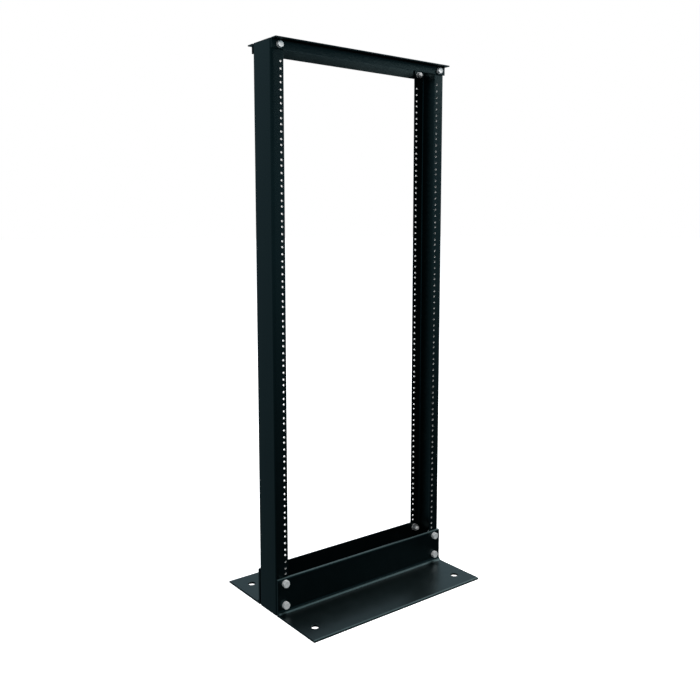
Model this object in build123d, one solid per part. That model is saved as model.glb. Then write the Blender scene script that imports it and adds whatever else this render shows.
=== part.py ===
from build123d import *
import os
from math import tan, radians

# Two-post open equipment rack for 19-inch panels, in millimetres.
# Two bent steel channels stand on two rolled steel angles and are tied together at the top by
# two small bent angles. Every joint is a bolt with a flat washer outside and a lock washer and
# nut inside the channel. The origin is on the floor at the middle of the rack, +Z is up,
# +X runs from the left upright to the right one and -Y is the front.

# Overall size
rack_height = 1300.0
rack_width = 514.35

# Upright: a channel with its web outside and its two flanges pointing inward
channel_depth = 76.2
channel_flange = 32.0
channel_sheet = 3.0
channel_inner_radius = 4.0

# Panel holes: tapped through both flanges in the universal 19-inch spacing
panel_hole_span = 465.1
panel_hole_diameter = 4.1
unit_height = 44.45
hole_offsets_in_unit = (6.35, 22.225, 38.1)
top_margin = 40.0

# Base angle: a rolled angle with a long foot on the floor and a short leg against the flanges
base_foot = 150.0
base_leg = 90.0
base_thickness = 5.0
base_root_radius = 10.0
base_toe_radius = 4.5

# Floor holes in the feet
floor_hole_diameter = 18.0
floor_hole_span_x = 440.0
floor_hole_span_y = 276.0

# Top angle: a small bent angle with one leg outward over the top and one leg down
top_foot = 20.0
top_leg = 22.0
top_sheet = 3.0
top_root_radius = 1.5
top_edge_radius = 0.6

# Where the bolts go, from the outer side face of the rack and from the floor
bolt_inset = 20.0
lower_bolt_height = 24.5
upper_bolt_height = 76.5
top_bolt_drop = 12.8

# Fasteners, by thread size
base_fastener = {
    "thread": 10.0, "length": 25.0, "clearance": 11.0,
    "across_flats": 16.0, "head": 6.4, "nut": 8.4,
    "washer_bore": 10.5, "washer_rim": 18.0, "washer": 1.6,
    "lock_bore": 10.3, "lock_rim": 17.6, "lock": 2.2,
}
top_fastener = {
    "thread": 8.0, "length": 20.0, "clearance": 9.0,
    "across_flats": 13.0, "head": 5.3, "nut": 6.8,
    "washer_bore": 8.4, "washer_rim": 16.0, "washer": 1.6,
    "lock_bore": 8.3, "lock_rim": 14.6, "lock": 2.0,
}
thread_play = 0.1
shank_end_chamfer = 0.09
head_chamfer_angle = 30.0
head_flat_share = 0.96
lock_gap = 1.6
lock_slant = 20.0
turn_step = 23.0

# How far a cutting tool runs past what it cuts
cut_margin = 10.0

# Worked out from the sizes above
half_width = rack_width / 2
half_depth = channel_depth / 2
hole_x = panel_hole_span / 2
bolt_x = half_width - bolt_inset
top_bolt_height = rack_height - top_bolt_drop
upward = (Align.CENTER, Align.CENTER, Align.MIN)


def panel_hole_heights():
    """Heights of every tapped hole, unit by unit down from the top to just above the base leg."""
    heights = []
    unit_floor = rack_height - top_margin - unit_height
    lowest = base_leg + panel_hole_diameter
    while unit_floor + hole_offsets_in_unit[-1] > lowest:
        for offset in hole_offsets_in_unit:
            if unit_floor + offset > lowest:
                heights.append(unit_floor + offset)
        unit_floor -= unit_height
    return heights


def rod_along_y(diameter, length, x, y, z):
    """A cylinder along Y, centred on the given point."""
    return Pos(x, y, z) * Rot(90, 0, 0) * Cylinder(diameter / 2, length)


def rounded(profile, corners, radius):
    """The profile with the corners nearest to the given points rounded."""
    vertices = [profile.vertices().sort_by_distance(corner)[0] for corner in corners]
    return fillet(vertices, radius)


def turned_to(side, shape):
    """The front or left piece itself for side -1, or the same piece turned half round for +1."""
    return shape if side < 0 else Rot(0, 0, 180) * shape


def upright(side):
    """The left upright for side -1, the right one for side +1."""
    outer = Rectangle(channel_flange, channel_depth, align=(Align.MIN, Align.CENTER))
    outer_corners = [(0, -half_depth), (0, half_depth)]
    outer = rounded(outer, outer_corners, channel_inner_radius + channel_sheet)
    hollow_depth = channel_depth - 2 * channel_sheet
    hollow = Rectangle(channel_flange, hollow_depth, align=(Align.MIN, Align.CENTER))
    hollow_corners = [(0, -hollow_depth / 2), (0, hollow_depth / 2)]
    hollow = rounded(hollow, hollow_corners, channel_inner_radius)
    profile = outer - Pos(channel_sheet, 0) * hollow
    channel = Pos(-half_width, 0, 0) * extrude(profile, rack_height)

    through = channel_depth + cut_margin
    cuts = []
    for z in panel_hole_heights():
        cuts.append(rod_along_y(panel_hole_diameter, through, -hole_x, 0, z))
    for z in (lower_bolt_height, upper_bolt_height):
        cuts.append(rod_along_y(base_fastener["clearance"], through, -bolt_x, 0, z))
    cuts.append(rod_along_y(top_fastener["clearance"], through, -bolt_x, 0, top_bolt_height))
    channel -= cuts
    return turned_to(side, channel)


def angle_section(foot, leg, thickness, root_radius, toe_radius):
    """An L in the YZ plane: the leg's flat back at y = 0, the foot's flat back at z = 0."""
    section = Polyline(
        (0, 0), (-foot, 0), (-foot, thickness), (-thickness, thickness), (-thickness, leg), (0, leg),
        close=True,
    )
    section = make_face(section)
    section = rounded(section, [(-thickness, thickness)], root_radius)
    section = rounded(section, [(-foot, thickness), (-thickness, leg)], toe_radius)
    return section


def base_angle(face):
    """The front base angle for face -1, the rear one for face +1."""
    section = angle_section(base_foot, base_leg, base_thickness, base_root_radius, base_toe_radius)
    on_side = Plane(origin=(-half_width, -half_depth, 0), x_dir=(0, 1, 0), z_dir=(1, 0, 0))
    bar = extrude(on_side * section, rack_width)
    through = 2 * (base_thickness + cut_margin)
    cuts = []
    for x in (-bolt_x, bolt_x):
        for z in (lower_bolt_height, upper_bolt_height):
            cuts.append(rod_along_y(base_fastener["clearance"], through, x, -half_depth, z))
    for x in (-floor_hole_span_x / 2, floor_hole_span_x / 2):
        hole = Cylinder(floor_hole_diameter / 2, through)
        cuts.append(Pos(x, -floor_hole_span_y / 2, 0) * hole)
    bar -= cuts
    return turned_to(face, bar)


def top_angle(face):
    """The front top angle for face -1, the rear one for face +1. It is an L hung upside down."""
    section = angle_section(top_foot, top_leg, top_sheet, top_root_radius, top_edge_radius)
    on_side = Plane(origin=(-half_width, -half_depth, rack_height), x_dir=(0, 1, 0), z_dir=(1, 0, 0))
    bar = extrude(on_side * mirror(section, about=Plane.XZ), rack_width)
    through = 2 * (top_sheet + cut_margin)
    cuts = []
    for x in (-bolt_x, bolt_x):
        cuts.append(rod_along_y(top_fastener["clearance"], through, x, -half_depth, top_bolt_height))
    bar -= cuts
    return turned_to(face, bar)


def hexagon_prism(across_flats, height, chamfered_ends):
    """A hexagon from z = 0 upward, with its corners turned down at the named ends."""
    corner_radius = across_flats / (3 ** 0.5)
    prism = extrude(RegularPolygon(corner_radius, 6), height)
    chamfer_height = (corner_radius - across_flats / 2) * tan(radians(head_chamfer_angle))
    cone_height = height - chamfer_height
    flat_radius = across_flats / 2 * head_flat_share
    slope_radius = flat_radius + cone_height / tan(radians(head_chamfer_angle))
    cone = Pos(0, 0, chamfer_height) * Cone(slope_radius, flat_radius, cone_height, align=upward)
    turned = cone + Cylinder(slope_radius, chamfer_height, align=upward)
    if "top" in chamfered_ends:
        prism &= turned
    if "bottom" in chamfered_ends:
        prism &= Pos(0, 0, height) * Rot(180, 0, 0) * turned
    return prism


def ring(bore, rim, height):
    """A flat ring from z = 0 upward."""
    return extrude(Circle(rim / 2) - Circle(bore / 2), height)


def hex_bolt(size):
    """A bolt on +Z whose head's bearing face is at z = 0 and whose shank runs upward."""
    head = Rot(180, 0, 0) * hexagon_prism(size["across_flats"], size["head"], ("top",))
    shank = Cylinder(size["thread"] / 2, size["length"], align=upward)
    shank = chamfer(shank.edges().group_by(Axis.Z)[-1], size["thread"] * shank_end_chamfer)
    return head + shank


def hex_nut(size):
    """A nut from z = 0 upward, chamfered at both ends."""
    body = hexagon_prism(size["across_flats"], size["nut"], ("top", "bottom"))
    bore = Cylinder(size["thread"] / 2 + thread_play, size["nut"], align=upward)
    return body - bore


def lock_washer(size):
    """A split ring from z = 0 upward, drawn down flat, with its slanted gap nearly closed."""
    rim = size["lock_rim"]
    height = size["lock"]
    slit = Pos(rim / 2, 0, height / 2) * Rot(lock_slant, 0, 0) * Box(rim, lock_gap, 3 * height)
    return ring(size["lock_bore"], rim, height) - slit


def joint_pieces(size, clamped, turn):
    """The bolt, washers and nut of one joint, with z = 0 on the outer face of what it clamps."""
    outer_end = Pos(0, 0, -size["washer"])
    flat_washer = ring(size["washer_bore"], size["washer_rim"], size["washer"])
    return {
        "bolt": outer_end * Rot(0, 0, turn) * hex_bolt(size),
        "flat_washer": outer_end * flat_washer,
        "lock_washer": Pos(0, 0, clamped) * Rot(0, 0, 2 * turn) * lock_washer(size),
        "nut": Pos(0, 0, clamped + size["lock"]) * Rot(0, 0, 3 * turn) * hex_nut(size),
    }


def fastener_nodes():
    """Every bolted joint's four pieces, each under its own name."""
    nodes = {}
    turn = 0.0
    base_outside = half_depth + base_thickness
    top_outside = half_depth + top_sheet
    levels = (
        ("lower", base_fastener, lower_bolt_height, base_outside, base_thickness + channel_sheet),
        ("upper", base_fastener, upper_bolt_height, base_outside, base_thickness + channel_sheet),
        ("top", top_fastener, top_bolt_height, top_outside, top_sheet + channel_sheet),
    )
    for face_name, face in (("front", -1), ("rear", 1)):
        for side_name, side in (("left", -1), ("right", 1)):
            for level_name, size, height, outside, clamped in levels:
                turn += turn_step
                seat = Plane(
                    origin=(side * bolt_x, face * outside, height), x_dir=(1, 0, 0), z_dir=(0, -face, 0)
                )
                for piece_name, piece in joint_pieces(size, clamped, turn).items():
                    name = f"{face_name}_{side_name}_{level_name}_{piece_name}"
                    nodes[name] = seat.location * piece
    return nodes


nodes = {
    "left_upright": upright(-1),
    "right_upright": upright(1),
    "front_base_angle": base_angle(-1),
    "rear_base_angle": base_angle(1),
    "front_top_angle": top_angle(-1),
    "rear_top_angle": top_angle(1),
}
nodes.update(fastener_nodes())

os.makedirs("parts", exist_ok=True)
for name, shape in nodes.items():
    export_step(shape, f"parts/{name}.step")
print(f"{len(nodes)} nodes, {len(panel_hole_heights())} tapped holes in each flange")
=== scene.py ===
"""The looks of a two-post equipment rack: black powder-coated steel with bright zinc fasteners.

Every frame member and fastener of the CAD frame is replaced by a finer mesh of the same size:
rolled and bent sections with rounded edges, tapped holes with real threads, hexagon heads with
turned corners, threaded bolt ends and split lock washers. All lengths are in metres.
"""
import bmesh
import bpy
from math import acos, ceil, cos, pi, radians, sin, tan
from mathutils import Matrix, Vector


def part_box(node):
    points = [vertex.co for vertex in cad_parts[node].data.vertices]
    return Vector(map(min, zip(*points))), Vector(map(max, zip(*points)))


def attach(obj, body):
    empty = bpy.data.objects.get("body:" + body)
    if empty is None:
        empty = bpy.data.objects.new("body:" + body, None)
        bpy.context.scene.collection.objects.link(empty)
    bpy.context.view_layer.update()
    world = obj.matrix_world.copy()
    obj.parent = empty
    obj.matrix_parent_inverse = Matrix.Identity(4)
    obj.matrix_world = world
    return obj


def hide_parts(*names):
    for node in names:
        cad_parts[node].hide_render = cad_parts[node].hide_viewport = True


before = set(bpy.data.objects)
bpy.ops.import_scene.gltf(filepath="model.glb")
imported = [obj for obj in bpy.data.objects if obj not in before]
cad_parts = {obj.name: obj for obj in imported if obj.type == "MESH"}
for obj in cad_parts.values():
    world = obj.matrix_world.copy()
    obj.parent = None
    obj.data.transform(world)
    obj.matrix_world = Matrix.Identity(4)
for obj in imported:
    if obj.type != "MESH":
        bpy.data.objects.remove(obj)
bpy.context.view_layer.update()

MM = 0.001

# Camera: where it stands, how far it is turned from +Y towards +X, how far it looks down
camera_place = (-1.191, -1.5205, 0.8948)
camera_yaw = radians(37.748)
camera_pitch = radians(6.51)
camera_lens = 40.678
camera_shift_y = -0.045

# Sheet and section sizes that the frame's boxes don't give
channel_sheet = 3 * MM
channel_inner_radius = 4 * MM
base_thickness = 5 * MM
base_root_radius = 10 * MM
base_toe_radius = 4.5 * MM
top_sheet = 3 * MM
top_root_radius = 1.5 * MM
edge_radius = 0.5 * MM
sharp_edge_radius = 0.3 * MM
end_bevel = 0.25 * MM

# Tapped panel holes: 10-32 threads in the universal 19-inch spacing
panel_hole_span = 465.1 * MM
unit_height = 44.45 * MM
hole_offsets_in_unit = (6.35 * MM, 22.225 * MM, 38.1 * MM)
top_margin = 40 * MM
tap_crest_radius = 2.05 * MM
tap_root_radius = 2.41 * MM
tap_mouth_radius = 2.65 * MM
tap_pitch = 25.4 / 32 * MM
tap_rings = 9

# Plain holes
bolt_hole_chamfer = 0.2 * MM
floor_hole_radius = 9 * MM
floor_hole_span_x = 440 * MM
floor_hole_span_y = 276 * MM
floor_hole_chamfer = 0.5 * MM

# Fasteners by thread size
fasteners = {
    "base": {
        "thread": 10 * MM, "pitch": 1.5 * MM, "length": 25 * MM, "clearance": 11 * MM,
        "across_flats": 16 * MM, "head": 6.4 * MM, "nut": 8.4 * MM,
        "washer_bore": 10.5 * MM, "washer_rim": 18 * MM, "washer": 1.6 * MM,
        "lock_bore": 10.3 * MM, "lock_rim": 17.6 * MM, "lock": 2.2 * MM,
        "clamped": base_thickness + channel_sheet,
    },
    "top": {
        "thread": 8 * MM, "pitch": 1.25 * MM, "length": 20 * MM, "clearance": 9 * MM,
        "across_flats": 13 * MM, "head": 5.3 * MM, "nut": 6.8 * MM,
        "washer_bore": 8.4 * MM, "washer_rim": 16 * MM, "washer": 1.6 * MM,
        "lock_bore": 8.3 * MM, "lock_rim": 14.6 * MM, "lock": 2 * MM,
        "clamped": top_sheet + channel_sheet,
    },
}
thread_play = 0.1 * MM
turn_step = radians(23)
lock_gap = 1.6 * MM
lock_slant = radians(20)

# Shapes of the fasteners, as shares of half the distance across the flats where not in metres
corner_share = 0.985
head_flat_share = 0.94
washer_face_share = 0.93
washer_face = 0.3 * MM
corner_slope = tan(radians(30))
head_dish = ((0.72, 0), (0.62, 0.25 * MM), (0.3, 0.3 * MM))
nut_countersink = 0.5 * MM

# Shape of the bolt threads: the depth as a share of the pitch, how steep the sides are and how
# wide the crest is, where the thread starts behind the nut's end, and how far its end is turned down
thread_depth_share = 0.61
thread_side = 1.25
thread_crest = 0.125
thread_start_turns = 1.5
thread_end_share = 1.15

# Mesh detail
arc_step = radians(15)
small_arc_step = radians(45)
small_radius = 1 * MM
hole_steps = 24
tap_steps = 20
round_steps = 48
collar = 0.8 * MM
weld = 1e-6
sharp_angle = radians(25)
thread_rows_in_turn = 8
corner_shares = (-1, -0.75, -0.5, -0.25, 0, 0.25, 0.5, 0.75, 1)

# Cross rows of a bar on both sides of a hole, from its centre
base_bolt_rows = (-10 * MM, 0, 10 * MM)
floor_hole_rows = (-14 * MM, 0, 12 * MM)
top_bolt_rows = (-8 * MM, 0, 8 * MM)

# Powder coat
coat_dark = (0.0004, 0.0009, 0.0010)
coat_light = (0.0006, 0.0012, 0.0014)
coat_roughness = (0.28, 0.34)
coat_specular_tint = (0.55, 0.95, 1.0, 1)

# Light: radiances are relative to the white behind the rack, sizes are in metres
floor_half = 60.0
floor_white = (0.82, 0.82, 0.82, 1)
floor_glow_near = 0.80
overhead_place = (2.1, -0.3, 3.1)
overhead_target = (0, 0, 0.5)
overhead_size = (4.2, 3.4)
overhead_radiance = 2.4
fill_place = (-1.6, -3.6, 3.3)
fill_target = (0, 0, 0.3)
fill_size = (3.5, 2.5)
fill_radiance = 9


class Shell:
    """Gathers the faces of one closed mesh. Points that fall on each other become one vertex."""

    def __init__(self):
        self.points = []
        self.numbers = {}
        self.faces = []
        self.paints = []

    def number(self, point):
        key = tuple(round(value / weld) for value in point)
        if key not in self.numbers:
            self.numbers[key] = len(self.points)
            self.points.append(tuple(point))
        return self.numbers[key]

    def face(self, corners, paint=0):
        loop = []
        for corner in corners:
            number = self.number(corner)
            if number not in loop:
                loop.append(number)
        if len(loop) > 2:
            self.faces.append(loop)
            self.paints.append(paint)

    def strip(self, first, second, paint=0):
        """Quads between two closed rows of as many points."""
        for i in range(len(first)):
            j = (i + 1) % len(first)
            self.face((first[i], first[j], second[j], second[i]), paint)

    def between(self, inner, outer, paint=0):
        """Triangles between a ring and a convex border round it, both (flat point, point) rows."""
        nearest = []
        for (here, _), (after, _) in zip(outer, outer[1:] + outer[:1]):
            outward = Vector((after.y - here.y, here.x - after.x))
            nearest.append(max(range(len(inner)), key=lambda k: outward.dot(inner[k][0])))
        for i, last in enumerate(nearest):
            corner = outer[i][1]
            self.face((corner, outer[(i + 1) % len(outer)][1], inner[last][1]), paint)
            k = nearest[i - 1]
            while k != last:
                after = (k + 1) % len(inner)
                self.face((corner, inner[after][1], inner[k][1]), paint)
                k = after

    def mesh(self, name, materials):
        """The finished mesh, smooth except along its sharp edges."""
        mesh = bpy.data.meshes.new(name)
        mesh.from_pydata(self.points, [], self.faces)
        mesh.polygons.foreach_set("material_index", self.paints)
        mesh.polygons.foreach_set("use_smooth", [True] * len(self.faces))
        editor = bmesh.new()
        editor.from_mesh(mesh)
        bmesh.ops.remove_doubles(editor, verts=editor.verts, dist=2 * weld)
        bmesh.ops.recalc_face_normals(editor, faces=editor.faces)
        editor.to_mesh(mesh)
        editor.free()
        mesh.set_sharp_from_angle(angle=sharp_angle)
        for material in materials:
            mesh.materials.append(material)
        return mesh


def place_piece(name, mesh, nodes, slot_name, matrix=None):
    """Adds a piece to the scene in place of CAD nodes."""
    piece = bpy.data.objects.new(name, mesh)
    bpy.context.collection.objects.link(piece)
    if matrix is not None:
        piece.matrix_world = matrix
    normals = piece.modifiers.new("weighted_normals", "WEIGHTED_NORMAL")
    normals.keep_sharp = True
    normals.weight = 100
    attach(piece, "root")
    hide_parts(*nodes)


# Outlines of bars

def outline(corners):
    """A closed outline from (x, y, radius) corners, each rounded to its radius."""
    points = []
    for i, (x, y, radius) in enumerate(corners):
        here = Vector((x, y))
        if radius == 0:
            points.append(here)
            continue
        before = Vector(corners[i - 1][:2]) - here
        after = Vector(corners[(i + 1) % len(corners)][:2]) - here
        before.normalize()
        after.normalize()
        half_angle = before.angle(after) / 2
        centre = here + (before + after).normalized() * radius / sin(half_angle)
        start = here + before * radius / tan(half_angle) - centre
        turn = start.angle_signed(here + after * radius / tan(half_angle) - centre)
        step = small_arc_step if radius < small_radius else arc_step
        steps = max(1, round(abs(turn) / step))
        for k in range(steps + 1):
            points.append(centre + Matrix.Rotation(-turn * k / steps, 2) @ start)
    return points


def inset(points, distance):
    """The outline moved inward everywhere by the distance."""
    area = sum(a.cross(b) for a, b in zip(points, points[1:] + points[:1]))
    inward = 1 if area > 0 else -1
    moved = []
    for i, here in enumerate(points):
        first = (here - points[i - 1]).normalized()
        second = (points[(i + 1) % len(points)] - here).normalized()
        first_normal = Vector((-first.y, first.x)) * inward
        second_normal = Vector((-second.y, second.x)) * inward
        middle = (first_normal + second_normal).normalized()
        moved.append(here + middle * distance / max(0.3, middle.dot(first_normal)))
    return moved


# Bars with drilled holes

def plain_wall(radius, chamfer):
    """A plain hole: its rings as (depth, radius at an angle), its steps, mouth radius and paint."""
    def rings(depth):
        return [
            (0.0, lambda angle: radius + chamfer),
            (chamfer, lambda angle: radius),
            (depth - chamfer, lambda angle: radius),
            (depth, lambda angle: radius + chamfer),
        ]
    return {"rings": rings, "steps": hole_steps, "mouth": radius + chamfer, "paint": 0}


def tapped_wall():
    """Rings of a threaded hole: a countersunk mouth, a helical thread and another mouth."""
    lead = tap_mouth_radius - tap_root_radius
    swing = (tap_root_radius - tap_crest_radius) / 2

    def thread(at):
        return lambda angle: tap_crest_radius + swing * (1 + cos(2 * pi * at / tap_pitch - angle))

    def rings(depth):
        found = [(0.0, lambda angle: tap_mouth_radius), (lead, lambda angle: tap_root_radius)]
        threaded = depth - 2 * lead
        for k in range(tap_rings):
            at = lead + threaded * (k + 0.5) / tap_rings
            found.append((at, thread(at)))
        found.append((depth - lead, lambda angle: tap_root_radius))
        found.append((depth, lambda angle: tap_mouth_radius))
        return found
    return {"rings": rings, "steps": tap_steps, "mouth": tap_mouth_radius, "paint": 1}


def crossings(edges, axis, value):
    """Numbers of the straight edges that a hole's axis crosses, in order along that axis."""
    found = []
    for number, (a, b) in enumerate(edges):
        low, high = sorted((a[axis], b[axis]))
        if low < value < high:
            found.append((a[1 - axis], number))
    return sorted(found)


def drilled_bar(shell, points, stops, place, holes):
    """A bar along the stops, with bevelled ends and round holes straight through its walls.

    place(point, stop) gives the place in space. Each hole is (stop, axis, value, wall): its axis
    crosses the outline where the outline's coordinate number axis has that value.
    """
    edges = list(zip(points, points[1:] + points[:1]))
    mouths = {number: [] for number in range(len(edges))}
    for stop, axis, value, wall in holes:
        angles = [2 * pi * k / wall["steps"] for k in range(wall["steps"])]

        def circle(depth_place, radius_at):
            row = []
            for angle in angles:
                point = Vector((0, 0))
                point[axis] = value + radius_at(angle) * cos(angle)
                point[1 - axis] = depth_place
                row.append(place(point, stop + radius_at(angle) * sin(angle)))
            return row

        crossed = crossings(edges, axis, value)
        for (near, near_edge), (far, far_edge) in zip(crossed[0::2], crossed[1::2]):
            rows = []
            for depth, radius_at in wall["rings"](far - near):
                rows.append(circle(near + depth, radius_at))
            for first, second in zip(rows, rows[1:]):
                shell.strip(first, second, wall["paint"])
            rim = wall["mouth"] + collar
            for depth_place, number, row in ((near, near_edge, rows[0]), (far, far_edge, rows[-1])):
                around = circle(depth_place, lambda angle: rim)
                shell.strip(row, around)
                flat = [Vector((rim * cos(angle), rim * sin(angle))) for angle in angles]
                mouths[number].append((stop, axis, value, rim, list(zip(flat, around))))

    for number, (a, b) in enumerate(edges):
        taken = set()
        for stop, axis, value, rim, around in mouths[number]:
            first = max(i for i, s in enumerate(stops) if s <= stop - rim)
            last = min(i for i, s in enumerate(stops) if s >= stop + rim)
            taken.update(range(first, last))
            high, low = (a, b) if a[axis] > b[axis] else (b, a)
            border = [(high, stops[i]) for i in range(first, last + 1)]
            border += [(low, stops[i]) for i in range(last, first - 1, -1)]
            border = [(Vector((end[axis] - value, at - stop)), place(end, at)) for end, at in border]
            shell.between(around, border)
        for i in range(len(stops) - 1):
            if i not in taken:
                start, end = stops[i], stops[i + 1]
                shell.face((place(a, start), place(b, start), place(b, end), place(a, end)))

    shrunk = inset(points, end_bevel)
    for stop, end in ((stops[0], stops[0] - end_bevel), (stops[-1], stops[-1] + end_bevel)):
        cap = [place(point, end) for point in shrunk]
        shell.strip([place(point, stop) for point in points], cap)
        shell.face(cap)


def stops_for(start, end, centres):
    """Stops along a bar: its bevelled ends, each hole's centre and halfway between holes."""
    centres = sorted(centres)
    stops = [start + end_bevel, end - end_bevel] + centres
    stops += [(a + b) / 2 for a, b in zip(centres, centres[1:])]
    return sorted(stops)


# Turned and hexagonal pieces

def turned(shell, profile):
    """A ring from a closed (radius, height) profile."""
    rows = []
    for radius, height in profile:
        row = []
        for k in range(round_steps):
            angle = 2 * pi * k / round_steps
            row.append((radius * cos(angle), radius * sin(angle), height))
        rows.append(row)
    for first, second in zip(rows, rows[1:] + rows[:1]):
        shell.strip(first, second)


def hexagon_angles():
    """Angles round a hexagon, closer together at its slightly rounded corners."""
    half = acos(cos(pi / 6) / corner_share)
    angles = []
    for side in range(6):
        for share in corner_shares:
            angles.append(side * pi / 3 + share * half)
    return angles


def hexagon_radius(angle, across_flats):
    """How far the hexagon's side is from its centre at an angle; 0 is a side's middle."""
    from_middle = (angle + pi / 6) % (pi / 3) - pi / 6
    return across_flats / 2 / cos(from_middle)


def hexagon_row(across_flats, height_at):
    """A row round a hexagon, whose height depends on the distance from the centre."""
    row = []
    for angle in hexagon_angles():
        radius = hexagon_radius(angle, across_flats)
        row.append((radius * cos(angle), radius * sin(angle), height_at(radius)))
    return row


def circle_row(radius, height):
    """A row of as many points as hexagon_row gives, on a circle."""
    return [(radius * cos(angle), radius * sin(angle), height) for angle in hexagon_angles()]


def thread_row(size, height, end):
    """A row round a screw thread, cut down to a cone at its end."""
    row = []
    depth = thread_depth_share * size["pitch"]
    for angle in hexagon_angles():
        phase = (height / size["pitch"] - angle / (2 * pi)) % 1
        groove = min(1, max(0, thread_side * abs(2 * phase - 1) - thread_crest))
        radius = size["thread"] / 2 - depth * groove
        cone = size["thread"] / 2 - depth * thread_end_share + (end - height)
        radius = min(radius, cone)
        row.append((radius * cos(angle), radius * sin(angle), height))
    return row


def hex_bolt_mesh(size, material):
    """A hexagon bolt: its bearing face at z = 0, the head below and the shank upward."""
    shell = Shell()
    flats = size["across_flats"]
    top = -size["head"]
    flat_radius = flats / 2 * head_flat_share
    rows = [
        circle_row(flats / 2 * washer_face_share, 0),
        circle_row(flats / 2 * washer_face_share, -washer_face),
        hexagon_row(flats, lambda radius: -washer_face),
        hexagon_row(flats, lambda radius: top + (radius - flat_radius) * corner_slope),
        circle_row(flat_radius, top),
    ]
    rows += [circle_row(flat_radius * share, top + depth) for share, depth in head_dish]
    for first, second in zip(rows, rows[1:]):
        shell.strip(first, second)
    shell.face(rows[-1])

    end = size["length"]
    stack = size["washer"] + size["clamped"] + size["lock"] + size["nut"]
    start = stack - thread_start_turns * size["pitch"]
    shank = size["thread"] / 2
    rows = [rows[0], circle_row(shank, 0), circle_row(shank, start)]
    count = ceil((end - start) / (size["pitch"] / thread_rows_in_turn))
    for k in range(1, count + 1):
        rows.append(thread_row(size, start + (end - start) * k / count, end))
    for first, second in zip(rows, rows[1:]):
        shell.strip(first, second)
    shell.face(rows[-1])
    return shell.mesh("hex_bolt", [material])


def hex_nut_mesh(size, material):
    """A nut from z = 0 upward, its corners turned down at both ends, with a countersunk bore."""
    shell = Shell()
    flats = size["across_flats"]
    height = size["nut"]
    flat_radius = flats / 2 * head_flat_share
    bore = size["thread"] / 2 + thread_play
    mouth = bore + nut_countersink
    rows = [
        circle_row(bore, nut_countersink),
        circle_row(mouth, 0),
        circle_row(flat_radius, 0),
        hexagon_row(flats, lambda radius: (radius - flat_radius) * corner_slope),
        hexagon_row(flats, lambda radius: height - (radius - flat_radius) * corner_slope),
        circle_row(flat_radius, height),
        circle_row(mouth, height),
        circle_row(bore, height - nut_countersink),
    ]
    for first, second in zip(rows, rows[1:] + rows[:1]):
        shell.strip(first, second)
    return shell.mesh("hex_nut", [material])


def flat_washer_mesh(size, material):
    """A stamped washer from z = 0 upward: rounded rim on the outside, small burr side inside."""
    shell = Shell()
    bore = size["washer_bore"] / 2
    rim = size["washer_rim"] / 2
    height = size["washer"]
    round_over = 0.35 * MM
    small = 0.12 * MM
    profile = [(bore, small), (bore + small, 0)]
    for k in range(4):
        angle = pi / 2 * k / 3
        out = round_over * sin(angle)
        profile.append((rim - round_over + out, round_over - round_over * cos(angle)))
    profile += [(rim, height - small), (rim - small, height)]
    profile += [(bore + small, height), (bore, height - small)]
    turned(shell, profile)
    return shell.mesh("flat_washer", [material])


def lock_washer_mesh(size, material):
    """A split spring washer from z = 0 upward, drawn down flat, its cut ends slanted."""
    shell = Shell()
    bore = size["lock_bore"] / 2
    rim = size["lock_rim"] / 2
    height = size["lock"]
    bevel = 0.2 * MM
    profile = [
        (bore, bevel), (bore + bevel, 0), (rim - bevel, 0), (rim, bevel),
        (rim, height - bevel), (rim - bevel, height), (bore + bevel, height), (bore, height - bevel),
    ]
    middle = (bore + rim) / 2
    half_gap = lock_gap / 2 / middle
    rows = []
    for k in range(round_steps + 1):
        row = []
        for radius, z in profile:
            angle = half_gap + (2 * pi - 2 * half_gap) * k / round_steps
            angle += (z - height / 2) * tan(lock_slant) / middle
            row.append((radius * cos(angle), radius * sin(angle), z))
        rows.append(row)
    for first, second in zip(rows, rows[1:]):
        shell.strip(first, second)
    shell.face(rows[0])
    shell.face(rows[-1])
    return shell.mesh("lock_washer", [material])


# Materials

def new_material(name):
    """A material, its node tree and its shader."""
    material = bpy.data.materials.new(name)
    material.use_nodes = True
    tree = material.node_tree
    return material, tree, tree.nodes["Principled BSDF"]


def noise(tree, scale, detail=2.0, roughness=0.5):
    """A noise texture in the piece's own space, its scale in features per metre."""
    if "Texture Coordinate" not in tree.nodes:
        tree.nodes.new("ShaderNodeTexCoord")
    node = tree.nodes.new("ShaderNodeTexNoise")
    node.inputs["Scale"].default_value = scale
    node.inputs["Detail"].default_value = detail
    node.inputs["Roughness"].default_value = roughness
    tree.links.new(tree.nodes["Texture Coordinate"].outputs["Object"], node.inputs["Vector"])
    return node.outputs["Fac"]


def spread(tree, value, low, high, out_low, out_high):
    """Maps a value from one range to another, held at its ends."""
    node = tree.nodes.new("ShaderNodeMapRange")
    for socket, number in zip(node.inputs[1:5], (low, high, out_low, out_high)):
        socket.default_value = number
    tree.links.new(value, node.inputs["Value"])
    return node.outputs["Result"]


def mixed(tree, share, first, second):
    """A colour between two colours."""
    node = tree.nodes.new("ShaderNodeMix")
    node.data_type = "RGBA"
    node.inputs["A"].default_value = (*first, 1)
    node.inputs["B"].default_value = (*second, 1)
    tree.links.new(share, node.inputs["Factor"])
    return node.outputs["Result"]


def summed(tree, first, second):
    """The sum of two values."""
    node = tree.nodes.new("ShaderNodeMath")
    node.operation = "ADD"
    tree.links.new(first, node.inputs[0])
    tree.links.new(second, node.inputs[1])
    return node.outputs["Value"]


def bumped(tree, height, distance, strength, below=None):
    """A bump of the given height in metres, over another bump if there is one."""
    node = tree.nodes.new("ShaderNodeBump")
    node.inputs["Distance"].default_value = distance
    node.inputs["Strength"].default_value = strength
    tree.links.new(height, node.inputs["Height"])
    if below is not None:
        tree.links.new(below, node.inputs["Normal"])
    return node.outputs["Normal"]


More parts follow.
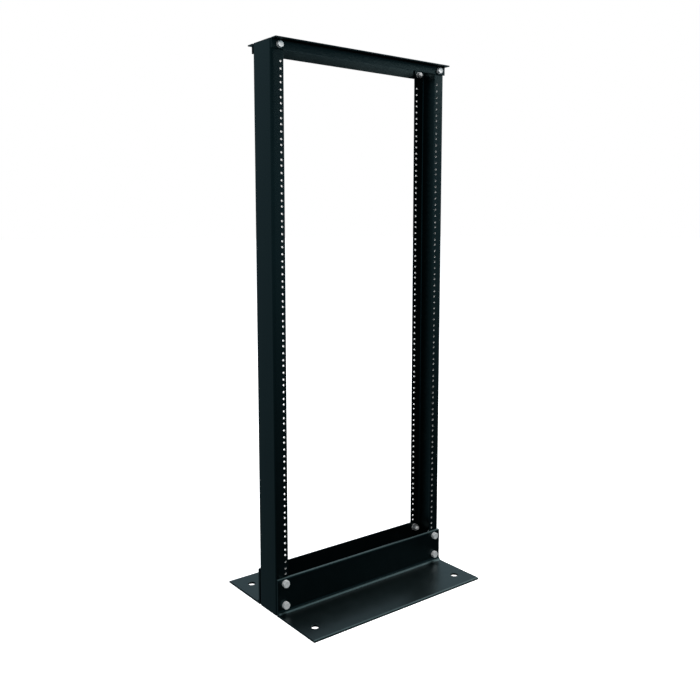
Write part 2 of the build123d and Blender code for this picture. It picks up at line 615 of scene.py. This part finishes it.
def black_powder_coat():
    """Satin black powder coat with a fine grain, a faint orange peel and uneven gloss."""
    material, tree, shader = new_material("black_powder_coat")
    cloud = spread(tree, noise(tree, 9, 4), 0.3, 0.7, 0, 1)
    colour = mixed(tree, cloud, coat_dark, coat_light)
    tree.links.new(colour, shader.inputs["Base Color"])
    gloss = spread(tree, noise(tree, 30, 5, 0.6), 0.3, 0.7, *coat_roughness)
    tree.links.new(gloss, shader.inputs["Roughness"])
    grain = bumped(tree, noise(tree, 1300, 2), 0.05 * MM, 0.35)
    peel = bumped(tree, noise(tree, 260, 1), 0.12 * MM, 0.25, grain)
    tree.links.new(peel, shader.inputs["Normal"])
    shader.inputs["Specular Tint"].default_value = coat_specular_tint
    return material


def bright_zinc(name, dark, light, low_roughness, high_roughness, metallic):
    """Bright zinc plate: slightly uneven tone and gloss, with fine forming marks."""
    material, tree, shader = new_material(name)
    tone = spread(tree, noise(tree, 220, 3), 0.3, 0.7, 0, 1)
    tree.links.new(mixed(tree, tone, dark, light), shader.inputs["Base Color"])
    gloss = spread(tree, noise(tree, 900, 3), 0.3, 0.7, low_roughness, high_roughness)
    tree.links.new(gloss, shader.inputs["Roughness"])
    tree.links.new(bumped(tree, noise(tree, 1500, 2), 0.03 * MM, 0.3), shader.inputs["Normal"])
    shader.inputs["Metallic"].default_value = metallic
    return material


coat = black_powder_coat()
# One zinc plate in three tones: the washer and nut copies are darker than the bolts, and that
# darkening is painted shade
bolt_zinc = bright_zinc("zinc_bolts", (0.82, 0.83, 0.83), (0.91, 0.91, 0.90), 0.34, 0.44, 0.55)
shaded_washer_zinc = bright_zinc("zinc_washers", (0.62, 0.63, 0.64), (0.76, 0.77, 0.77), 0.40, 0.50, 0.6)
shaded_nut_zinc = bright_zinc("zinc_nuts", (0.32, 0.33, 0.34), (0.42, 0.43, 0.43), 0.36, 0.46, 0.8)
thread_steel = bright_zinc("tapped_thread", (0.46, 0.46, 0.45), (0.60, 0.60, 0.58), 0.40, 0.50, 0.5)


# Uprights

left_low, left_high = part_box("left_upright")
half_width = -left_low.x
half_depth = left_high.y
rack_height = left_high.z
flange = left_high.x - left_low.x
hole_x = panel_hole_span / 2


def joint_place(face, side, level):
    """Centre of a bolted joint on the outer face of what it clamps."""
    low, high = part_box(f"{face}_{side}_{level}_flat_washer")
    y = high.y if face == "front" else low.y
    return Vector(((low.x + high.x) / 2, y, (low.z + high.z) / 2))


joints_z = {level: joint_place("front", "left", level).z for level in ("lower", "upper", "top")}
bolt_x = joint_place("front", "right", "lower").x
leg_low, leg_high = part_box("front_base_angle")
base_leg = leg_high.z
base_foot = leg_high.y - leg_low.y


def panel_hole_heights():
    """Heights of every tapped hole, unit by unit down from the top to just above the base leg."""
    heights = []
    unit_floor = rack_height - top_margin - unit_height
    lowest = base_leg + 2 * tap_crest_radius
    while unit_floor + hole_offsets_in_unit[-1] > lowest:
        for offset in hole_offsets_in_unit:
            if unit_floor + offset > lowest:
                heights.append(unit_floor + offset)
        unit_floor -= unit_height
    return heights


def upright(side):
    """The mesh of the left upright for side -1, of the right one for +1."""
    bend = channel_inner_radius + channel_sheet
    corners = [
        (0, -half_depth, bend),
        (flange, -half_depth, edge_radius),
        (flange, -half_depth + channel_sheet, edge_radius),
        (channel_sheet, -half_depth + channel_sheet, channel_inner_radius),
        (channel_sheet, half_depth - channel_sheet, channel_inner_radius),
        (flange, half_depth - channel_sheet, edge_radius),
        (flange, half_depth, edge_radius),
        (0, half_depth, bend),
    ]
    tapped = tapped_wall()
    holes = [(z, 0, half_width - hole_x, tapped) for z in panel_hole_heights()]
    for level in ("lower", "upper", "top"):
        size = fasteners["top" if level == "top" else "base"]
        wall = plain_wall(size["clearance"] / 2, bolt_hole_chamfer)
        holes.append((joints_z[level], 0, half_width - bolt_x, wall))
    shell = Shell()
    stops = stops_for(0, rack_height, [hole[0] for hole in holes])

    def place(point, stop):
        return (side * (half_width - point[0]), point[1] * side, stop)

    drilled_bar(shell, outline(corners), stops, place, holes)
    return shell.mesh("upright", [coat, thread_steel])


place_piece("left_upright_coated", upright(-1), ["left_upright"], "black_powder_coat")
place_piece("right_upright_coated", upright(1), ["right_upright"], "black_powder_coat")


# Base angles and top angles

def base_angle(face):
    """The mesh of the front base angle for face -1, of the rear one for +1."""
    split = (joints_z["lower"] + joints_z["upper"]) / 2
    corners = [
        (half_depth, 0, edge_radius),
        (half_depth + base_foot, 0, sharp_edge_radius),
        (half_depth + base_foot, base_thickness, base_toe_radius),
        (half_depth + base_thickness, base_thickness, base_root_radius),
        (half_depth + base_thickness, split, 0),
        (half_depth + base_thickness, base_leg, base_toe_radius),
        (half_depth, base_leg, sharp_edge_radius),
        (half_depth, split, 0),
    ]
    bolt_wall = plain_wall(fasteners["base"]["clearance"] / 2, bolt_hole_chamfer)
    floor_wall = plain_wall(floor_hole_radius, floor_hole_chamfer)
    holes = []
    stops = [-half_width + end_bevel, half_width - end_bevel]
    for side in (-1, 1):
        holes.append((side * bolt_x, 1, joints_z["lower"], bolt_wall))
        holes.append((side * bolt_x, 1, joints_z["upper"], bolt_wall))
        holes.append((side * floor_hole_span_x / 2, 0, floor_hole_span_y / 2, floor_wall))
        for away in base_bolt_rows:
            stops.append(side * (bolt_x + away))
        for away in floor_hole_rows:
            stops.append(side * (floor_hole_span_x / 2 + away))
    shell = Shell()

    def place(point, stop):
        return (-face * stop, face * point[0], point[1])

    drilled_bar(shell, outline(corners), sorted(stops), place, holes)
    return shell.mesh("base_angle", [coat])


def top_angle(face):
    """The mesh of the front top angle for face -1, of the rear one for +1."""
    low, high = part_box("front_top_angle")
    foot = high.y - low.y
    leg = high.z - low.z
    corners = [
        (half_depth, rack_height, edge_radius),
        (half_depth, rack_height - leg, edge_radius),
        (half_depth + top_sheet, rack_height - leg, edge_radius),
        (half_depth + top_sheet, rack_height - top_sheet, top_root_radius),
        (half_depth + foot, rack_height - top_sheet, edge_radius),
        (half_depth + foot, rack_height, edge_radius),
    ]
    wall = plain_wall(fasteners["top"]["clearance"] / 2, bolt_hole_chamfer)
    holes = [(side * bolt_x, 1, joints_z["top"], wall) for side in (-1, 1)]
    stops = [-half_width + end_bevel, half_width - end_bevel]
    for side in (-1, 1):
        for away in top_bolt_rows:
            stops.append(side * (bolt_x + away))
    shell = Shell()

    def place(point, stop):
        return (-face * stop, face * point[0], point[1])

    drilled_bar(shell, outline(corners), sorted(stops), place, holes)
    return shell.mesh("top_angle", [coat])


for face_name, face in (("front", -1), ("rear", 1)):
    for part_name, build in (("base_angle", base_angle), ("top_angle", top_angle)):
        node = f"{face_name}_{part_name}"
        place_piece(f"{node}_coated", build(face), [node], "black_powder_coat")


# Bolted joints

# Washers and nuts take the darker zinc copies, whose darker tones are painted shade
builders = (
    ("bolt", hex_bolt_mesh, bolt_zinc, "zinc_bolts"),
    ("flat_washer", flat_washer_mesh, shaded_washer_zinc, "zinc_washers"),
    ("lock_washer", lock_washer_mesh, shaded_washer_zinc, "zinc_washers"),
    ("nut", hex_nut_mesh, shaded_nut_zinc, "zinc_bolts"),
)
meshes = {}
for kind, size in fasteners.items():
    for piece_name, build, material, slot_name in builders:
        meshes[kind, piece_name] = build(size, material)

turn = 0.0
for face_name, face in (("front", -1), ("rear", 1)):
    for side_name in ("left", "right"):
        for level in ("lower", "upper", "top"):
            turn += turn_step
            kind = "top" if level == "top" else "base"
            size = fasteners[kind]
            seat = Matrix.Translation(joint_place(face_name, side_name, level)) @ Matrix(
                ((1, 0, 0, 0), (0, 0, -face, 0), (0, face, 0, 0), (0, 0, 0, 1))
            )
            heights = {
                "bolt": -size["washer"],
                "flat_washer": -size["washer"],
                "lock_washer": size["clamped"],
                "nut": size["clamped"] + size["lock"],
            }
            turns = {"bolt": turn, "flat_washer": 0, "lock_washer": 2 * turn, "nut": 3 * turn}
            for piece_name, build, material, slot_name in builders:
                node = f"{face_name}_{side_name}_{level}_{piece_name}"
                matrix = seat @ Matrix.Translation((0, 0, heights[piece_name]))
                matrix = matrix @ Matrix.Rotation(turns[piece_name], 4, "Z")
                place_piece(f"{node}_zinc", meshes[kind, piece_name], [node], slot_name, matrix)


# Floor, light and camera

def floor():
    """A white floor that the camera sees, but that neither lights the rack nor shows in it."""
    mesh = bpy.data.meshes.new("floor")
    corners = [(x * floor_half, y * floor_half, 0) for x, y in ((-1, -1), (1, -1), (1, 1), (-1, 1))]
    mesh.from_pydata(corners, [], [(0, 1, 2, 3)])
    piece = bpy.data.objects.new("floor", mesh)
    bpy.context.collection.objects.link(piece)
    material, tree, shader = new_material("pale_floor")
    shader.inputs["Base Color"].default_value = floor_white
    shader.inputs["Roughness"].default_value = 0.9
    shader.inputs["Specular IOR Level"].default_value = 0.1
    shader.inputs["Emission Color"].default_value = (1, 1, 1, 1)
    place = tree.nodes.new("ShaderNodeTexCoord")
    distance = tree.nodes.new("ShaderNodeVectorMath")
    distance.operation = "LENGTH"
    tree.links.new(place.outputs["Object"], distance.inputs[0])
    glow = spread(tree, distance.outputs["Value"], 0.4, 4.0, floor_glow_near, 1.0)
    tree.links.new(glow, shader.inputs["Emission Strength"])
    mesh.materials.append(material)
    piece.visible_glossy = False
    piece.visible_diffuse = False


def softbox(name, place, target, size, radiance):
    """A soft white light of the given radiance, turned to its target."""
    width, depth = size
    light = bpy.data.lights.new(name, "AREA")
    light.shape = "RECTANGLE"
    light.size = width
    light.size_y = depth
    light.energy = radiance * pi * width * depth
    lamp = bpy.data.objects.new(name, light)
    bpy.context.collection.objects.link(lamp)
    lamp.location = place
    direction = Vector(target) - Vector(place)
    lamp.rotation_euler = direction.to_track_quat("-Z", "Y").to_euler()
    return lamp


def surroundings():
    """White behind the rack for the camera, and a dim blue-grey studio for what the metal mirrors."""
    world = bpy.data.worlds.new("studio")
    bpy.context.scene.world = world
    world.use_nodes = True
    tree = world.node_tree
    direction = tree.nodes.new("ShaderNodeTexCoord")
    parts = tree.nodes.new("ShaderNodeSeparateXYZ")
    tree.links.new(direction.outputs["Generated"], parts.inputs["Vector"])
    rise = parts.outputs["Z"]
    # In front of the rack, light only near the horizon; behind it, lighter the higher it is
    front = spread(tree, rise, -0.28, 0.06, 0.01, 0.42)
    front = summed(tree, front, spread(tree, rise, 0.12, 0.26, 0, -0.40))
    back = spread(tree, rise, -0.5, 0.2, 0.11, 0.28)
    back = summed(tree, back, spread(tree, rise, 0.25, 0.55, 0, 0.45))
    share = spread(tree, parts.outputs["Y"], -0.2, 0.4, 0, 1)
    blend = tree.nodes.new("ShaderNodeMix")
    tree.links.new(share, blend.inputs["Factor"])
    tree.links.new(front, blend.inputs["A"])
    tree.links.new(back, blend.inputs["B"])
    glow = blend.outputs["Result"]
    background = tree.nodes["Background"]
    higher = spread(tree, rise, 0.2, 0.6, 0, 1)
    tint = mixed(tree, higher, (0.55, 0.87, 1.0), (0.80, 0.92, 1.0))
    tree.links.new(tint, background.inputs["Color"])
    tree.links.new(glow, background.inputs["Strength"])
    white = tree.nodes.new("ShaderNodeBackground")
    white.inputs["Color"].default_value = (1, 1, 1, 1)
    white.inputs["Strength"].default_value = 1.0
    rays = tree.nodes.new("ShaderNodeLightPath")
    choice = tree.nodes.new("ShaderNodeMixShader")
    tree.links.new(rays.outputs["Is Camera Ray"], choice.inputs["Fac"])
    tree.links.new(background.outputs["Background"], choice.inputs[1])
    tree.links.new(white.outputs["Background"], choice.inputs[2])
    tree.links.new(choice.outputs["Shader"], tree.nodes["World Output"].inputs["Surface"])


floor()
surroundings()
softbox("overhead", overhead_place, overhead_target, overhead_size, overhead_radiance)
fill = softbox("fill", fill_place, fill_target, fill_size, fill_radiance)
fill.visible_glossy = False

camera = bpy.data.cameras.new("camera")
camera.lens = camera_lens
camera.sensor_width = 36
camera.shift_y = camera_shift_y
camera.clip_end = 200
viewer = bpy.data.objects.new("camera", camera)
bpy.context.collection.objects.link(viewer)
viewer.location = camera_place
viewer.rotation_euler = (pi / 2 - camera_pitch, 0, -camera_yaw)
bpy.context.scene.camera = viewer
bpy.context.scene.view_settings.view_transform = "Standard"

bpy.context.view_layer.update()
